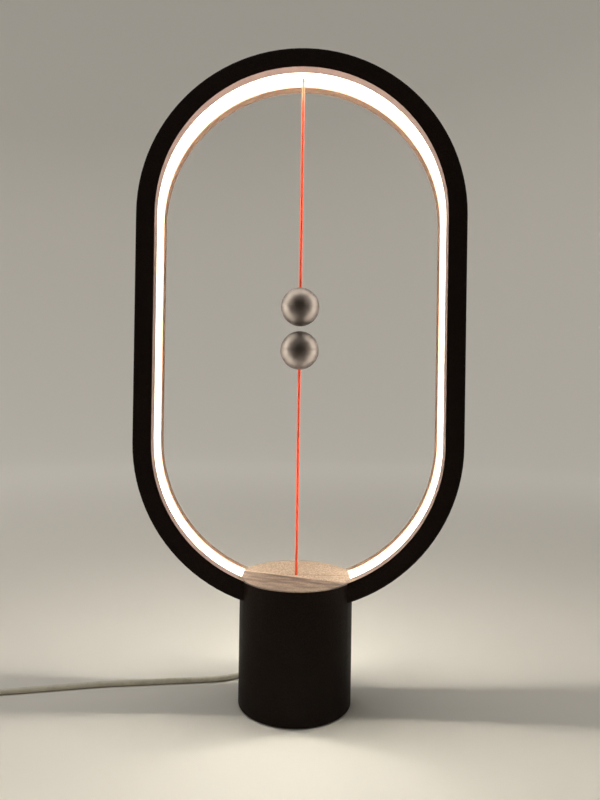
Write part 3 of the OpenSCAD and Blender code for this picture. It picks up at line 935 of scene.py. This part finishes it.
@dataclass
class PowerCable(Assembly):
    """The USB cable: its route over the table, its coil and its moulded ends.

    Attributes:
        radius: The cable's radius.
        floor: Height of its middle where it lies on the table.
        route: The points that its free stretch passes.
        coil_x: Where the coil's outer turn begins, along X.
        start_y: The same along Y.
        inner: Radius of its innermost turn.
        pitch: Space from one turn to the next.
        turns: Number of turns in both layers.
        rise: Height from one layer to the next.
        climb: Part of a turn in which it climbs.
        tail: Length of the straight tail to the plug.
        level: Part of the tail that stays at the coil's height.
        plug_z: Height of the plug's middle.
        rings: Points in a turn of the coil.
        tail_steps: Steps along the tail.
        round_steps: Steps in a quarter of its round.
    """

    radius: float = 1.75 * MM
    floor: float = 1.8 * MM
    route: list[Point] = field(default_factory=lambda: [
        (0.0, 0.044, 0.008), (0.0, 0.048, 0.008), (-0.002, 0.053, 0.007), (-0.008, 0.057, 0.005),
        (-0.016, 0.056, 0.003), (-0.024, 0.049, 0.002), (-0.030, 0.039, 0.0018),
        (-0.038, 0.030, 0.0018), (-0.050, 0.024, 0.0018), (-0.068, 0.021, 0.0018),
        (-0.088, 0.018, 0.0018), (-0.107, 0.015, 0.0018), (-0.126, 0.012, 0.0018),
        (-0.156, 0.005, 0.0018), (-0.182, -0.001, 0.0018), (-0.197, -0.0035, 0.0018),
        (-0.205, -0.004, 0.0018), (-0.2085, -0.004, 0.0018),
    ])
    coil_x: float = -0.212
    start_y: float = -0.004
    inner: float = 9.5 * MM
    pitch: float = 4.1 * MM
    turns: int = 10
    rise: float = 4.0 * MM
    climb: float = 0.5
    tail: float = 30 * MM
    level: float = 0.35
    plug_z: float = 4.2 * MM
    rings: int = 48
    tail_steps: int = 10
    round_steps: int = 6

    def free_stretch(self, steps: int = 4) -> list[Vector]:
        """Smooths the route.

        Args:
            steps: Points from each route point to the next.

        Returns:
            The points from the gland to the coil.
        """
        points = [Vector(p) for p in self.route]
        smooth = []
        for i in range(len(points) - 1):
            before = points[max(i - 1, 0)]
            first, second = points[i], points[i + 1]
            after = points[min(i + 2, len(points) - 1)]
            for step in range(steps):
                t = step / steps
                smooth.append(0.5 * (
                    2 * first + (second - before) * t
                    + (2 * before - 5 * first + 4 * second - after) * t * t
                    + (3 * first - before - 3 * second + after) * t * t * t))
        return smooth + [points[-1]]

    @staticmethod
    def eased(t: float) -> float:
        """Eased step from 0 to 1."""
        t = min(max(t, 0.0), 1.0)
        return t * t * (3 - 2 * t)

    def coil_point(self, turn: float) -> Vector:
        """Finds a point of the coil.

        Args:
            turn: Turns from the coil's start.

        Returns:
            The point.
        """
        outer = self.inner + self.pitch * self.turns / 2
        radius = self.inner + self.pitch * abs(turn - self.turns / 2)
        angle = math.radians(90 + 360 * turn)
        start = (self.turns - self.climb) / 2
        return Vector((
            self.coil_x + radius * math.cos(angle),
            self.start_y - outer + radius * math.sin(angle),
            self.floor + self.rise * self.eased((turn - start) / self.climb)))

    def path(self) -> list[Vector]:
        """Joins the stretch, the coil and the tail.

        Returns:
            The whole centreline.
        """
        points = self.free_stretch()
        points += [self.coil_point(i / self.rings) for i in range(self.turns * self.rings + 1)]
        top = points[-1].copy()
        straight = self.tail - 2 * self.radius
        for i in range(1, self.tail_steps + 1):
            share = i / self.tail_steps
            drop = (self.plug_z - top.z) * self.eased((share - self.level) / (1 - self.level))
            points.append(top + Vector((-straight * share, 0, drop)))
        points.append(Vector((top.x - self.tail, top.y, self.plug_z)))
        return points

    def build(self) -> None:
        points = self.path()
        curve = bpy.data.curves.new("usb_cable_line", "CURVE")
        curve.dimensions = "3D"
        curve.bevel_depth = self.radius
        curve.bevel_resolution = self.round_steps
        curve.use_fill_caps = True
        line = curve.splines.new("POLY")
        line.points.add(len(points) - 1)
        for spot, point in zip(line.points, points):
            spot.co = (*point, 1.0)
        drawn = add_object("usb_cable_line", curve)
        graph = bpy.context.evaluated_depsgraph_get()
        mesh = bpy.data.meshes.new_from_object(drawn.evaluated_get(graph))
        bpy.data.objects.remove(drawn)
        mesh.shade_smooth()
        cable = add_object("usb_lead", mesh)
        self.wardrobe.dress(Shade.JACKET, cable)
        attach(cable, "lamp")
        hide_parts("usb_cable", "cable_coil")
        self.wardrobe.dress(Shade.JACKET, "cable_gland", "plug_relief", "plug_body", "inner_lead")
        self.wardrobe.dress(Shade.PLATED, "plug_shell")
        self.wardrobe.dress(Shade.WHITE_MOULDING, "plug_tongue")


@dataclass
class CarriedParts(Assembly):
    """A sub-assembly whose nodes keep their CAD shape, and the nodes for each finish."""

    FINISHES: ClassVar[dict[Shade, tuple[str, ...]]] = {}

    def build(self) -> None:
        """Dresses the nodes."""
        for shade, nodes in self.FINISHES.items():
            self.wardrobe.dress(shade, *nodes)


class Casing(CarriedParts):
    """The two halves of the ring and base, with the underside."""

    FINISHES = {
        Shade.CASING: ("front_casing", "rear_casing"),
        Shade.PLATE: ("bottom_plate",),
        Shade.FOAM: ("foot_pad",),
        Shade.PLATED: ("base_screws",),
        Shade.TURNED: ("ballast_weight",),
    }


class Light(CarriedParts):
    """The diffuser and what lights it."""

    FINISHES = {
        Shade.GLOW: ("diffuser",),
        Shade.TAPE: ("led_strip",),
        Shade.PHOSPHOR: ("led_chips",),
        Shade.WIRE: ("led_leads",),
    }


class PullSwitch(CarriedParts):
    """The switch and the driver inside the base."""

    FINISHES = {
        Shade.WHITE_MOULDING: ("switch_frame", "switch_slider", "string_anchor"),
        Shade.PLATED: ("switch_spring", "frame_screws", "board_screw"),
        Shade.BLACK_MOULDING: ("micro_switch", "driver_chip", "inductor"),
        Shade.RED_MOULDING: ("switch_button",),
        Shade.BOARD: ("driver_board",),
        Shade.CERAMIC: ("capacitors",),
    }


@dataclass
class BallPair(Assembly):
    """The two hollow balls, each of two halves with a fine seam.

    Attributes:
        radius: Outer radius of a ball.
        wall: Its wall.
        hole: Radius of the hole for the cord.
        seam: Width of the bevel on each side of the seam.
        segments: Segments round a ball.
        arc_steps: Steps from a ball's pole to its rim.
    """

    radius: float = 12 * MM
    wall: float = 2 * MM
    hole: float = 0.95 * MM
    seam: float = 0.12 * MM
    segments: int = 96
    arc_steps: int = 30

    def half(self, name: str, centre: Point, up: bool, holed: bool) -> Piece:
        """Turns one half of a ball on a lathe.

        Args:
            name: The piece's name.
            centre: The ball's centre.
            up: Whether its pole points up.
            holed: Whether the cord goes through its pole.

        Returns:
            The half.
        """
        shape = bmesh.new()
        start = self.hole if holed else 0.0
        inner = self.radius - self.wall
        outline = []
        for r, backwards in ((self.radius, False), (inner, True)):
            low = math.asin(start / r)
            steps = range(self.arc_steps + 1)
            angles = [low + (math.pi / 2 - low) * i / self.arc_steps for i in steps]
            for angle in reversed(angles) if backwards else angles:
                outline.append(Vector((r * math.sin(angle), 0, r * math.cos(angle))))
        rim = self.arc_steps
        outline[rim] = Vector((self.radius, 0, self.seam))
        outline.insert(rim + 1, Vector((self.radius - self.seam, 0, 0)))
        verts = [shape.verts.new(p) for p in outline]
        edges = [shape.edges.new(pair) for pair in zip(verts, verts[1:])]
        if holed:
            edges.append(shape.edges.new((verts[-1], verts[0])))
        bmesh.ops.spin(shape, geom=verts + edges, cent=(0, 0, 0), axis=(0, 0, 1),
                       angle=math.tau, steps=self.segments, use_merge=True)
        bmesh.ops.remove_doubles(shape, verts=shape.verts, dist=MERGE)
        if not up:
            bmesh.ops.scale(shape, vec=(1, 1, -1), verts=shape.verts)
        bmesh.ops.translate(shape, vec=centre, verts=shape.verts)
        return place_mesh(name, shape)

    def build(self) -> None:
        """Makes both balls and what is in them."""
        for body, cord_up in (("upper_ball", True), ("lower_ball", False)):
            low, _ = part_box(f"{body}_top")
            centre = (0.0, 0.0, low[2])
            for end, up in (("top", True), ("bottom", False)):
                node = f"{body}_{end}"
                shell = self.half(f"{node}_shell", centre, up, up == cord_up)
                self.wardrobe.dress(Shade.BALL, shell)
                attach(shell, body)
                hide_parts(node)
        self.wardrobe.dress(Shade.PLATED, "upper_magnet", "lower_magnet")


@dataclass
class BraidedCords(Assembly):
    """The two thin cords that hold the balls.

    Attributes:
        sides: Sides of a cord.
        ring_gap: Space from one ring of points to the next.
        smooth_angle: Edges flatter than this angle in degrees are smooth.
    """

    sides: int = 16
    ring_gap: float = 0.8 * MM
    smooth_angle: float = 60.0

    def cord(self, name: str, node: str) -> Piece:
        """Makes a cord in the place of its node, with a UV map for its plait.

        Args:
            name: The piece's name.
            node: The node that it stands for.

        Returns:
            The cord.
        """
        low, high = (Vector(corner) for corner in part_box(node))
        radius = (high.x - low.x) / 2
        height = high.z - low.z
        rings = max(2, round(height / self.ring_gap))
        shape = bmesh.new()
        bmesh.ops.create_cone(shape, cap_ends=True, segments=self.sides, radius1=radius,
                              radius2=radius, depth=height,
                              matrix=Matrix.Translation((low + high) / 2))
        uprights = [e for e in shape.edges if abs(e.verts[0].co.z - e.verts[1].co.z) > height / 2]
        bmesh.ops.subdivide_edges(shape, edges=uprights, cuts=rings - 1)
        lie = shape.loops.layers.uv.new(CORD_MAP)
        for face in shape.faces:
            middle = face.calc_center_median()
            around = math.atan2(middle.y, middle.x) / math.tau
            for corner in face.loops:
                spot = corner.vert.co
                turn = math.atan2(spot.y, spot.x) / math.tau
                turn += round(around - turn)
                corner[lie].uv = (turn, spot.z - low.z)
        return place_mesh(name, shape, self.smooth_angle)

    def build(self) -> None:
        """Makes both cords and dresses their ends."""
        upper = self.cord("upper_braid", "upper_string")
        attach(upper, "upper_ball")
        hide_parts("upper_string")
        lower = self.cord("lower_braid", "lower_string")
        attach(lower, "slider")
        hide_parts("lower_string")
        for cord in (upper, lower):
            self.wardrobe.dress(Shade.CORD, cord)
        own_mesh(lower)
        self.wardrobe.dress(Shade.CORD, "anchor_knot", "upper_string_bend", "upper_ball_knot",
                            "slider_knot", "lower_ball_knot")


@dataclass(frozen=True)
class SoftLight:
    """A square soft light that the camera doesn't see.

    Attributes:
        name: Its name.
        place: Where it hangs.
        aim: The point that it faces.
        size: The side of its square.
        power: Its power in watts.
        colour: Its colour.
    """

    name: str
    place: Point
    aim: Point
    size: float
    power: float
    colour: Point

    def hang(self) -> None:
        """Adds the light to the scene."""
        light = bpy.data.lights.new(self.name, "AREA")
        light.size = self.size
        light.energy = self.power
        light.color = self.colour
        holder = add_object(self.name, light)
        holder.visible_camera = False
        turn = (Vector(self.aim) - Vector(self.place)).to_track_quat("-Z", "Y")
        holder.matrix_world = Matrix.Translation(self.place) @ turn.to_matrix().to_4x4()


@dataclass
class Studio(Assembly):
    """Pale round floor that bends up into a backdrop, in plain soft light.

    Attributes:
        reach: Radius of the backdrop.
        height: Height of the backdrop.
        bend: Radius of the bend from the floor to the backdrop.
        bend_steps: Steps in the bend.
        segments: Segments round the backdrop.
        room: Colour of the room's light.
        room_strength: Its strength.
        lights: The soft lights.
    """

    reach: float = 2.4
    height: float = 3.2
    bend: float = 0.9
    bend_steps: int = 24
    segments: int = 96
    room: Colour = srgb(238, 236, 230)
    room_strength: float = 0.14
    lights: tuple[SoftLight, ...] = (
        SoftLight("overhead", (-0.3, 0.2, 1.7), (0, 0, 0.15), 1.6, 13.0, (1.0, 0.98, 0.95)),
        SoftLight("left_fill", (-1.6, -0.9, 0.9), (0, 0, 0.2), 1.2, 1.5, (1.0, 0.97, 0.93)),
    )

    def sweep(self) -> Piece:
        """Makes the floor with the backdrop that rises all round it.

        Returns:
            The sweep.
        """
        shape = bmesh.new()
        flat = self.reach - self.bend
        outline = [(0.0, 0.0), (flat, 0.0)]
        for i in range(1, self.bend_steps + 1):
            angle = math.pi / 2 * i / self.bend_steps
            outline.append((flat + self.bend * math.sin(angle), self.bend * (1 - math.cos(angle))))
        outline.append((self.reach, self.height))
        verts = [shape.verts.new((x, 0, z)) for x, z in outline]
        edges = [shape.edges.new(pair) for pair in zip(verts, verts[1:])]
        bmesh.ops.spin(shape, geom=verts + edges, cent=(0, 0, 0), axis=(0, 0, 1),
                       angle=math.tau, steps=self.segments, use_merge=True)
        bmesh.ops.remove_doubles(shape, verts=shape.verts, dist=MERGE)
        return place_mesh("floor", shape)

    def build(self) -> None:
        """Sets up the floor, the lights and the world."""
        floor = self.sweep()
        self.wardrobe.dress(Shade.FLOOR, floor)
        for light in self.lights:
            light.hang()
        world = bpy.data.worlds.new("soft_room")
        world.use_nodes = True
        bpy.context.scene.world = world
        backdrop = world.node_tree.nodes["Background"]
        backdrop.inputs["Color"].default_value = self.room
        backdrop.inputs["Strength"].default_value = self.room_strength
        bpy.context.scene.view_settings.view_transform = "Standard"


def main() -> None:
    """Builds the camera, the cable, the lamp and the studio, in that order."""
    logging.basicConfig(level=logging.INFO, format="%(message)s")
    PhotoCamera().build()
    wardrobe = Wardrobe()
    for kind in (PowerCable, Casing, Light, PullSwitch, BallPair, BraidedCords, Studio):
        kind(wardrobe).build()


if __name__ == "__main__":
    main()
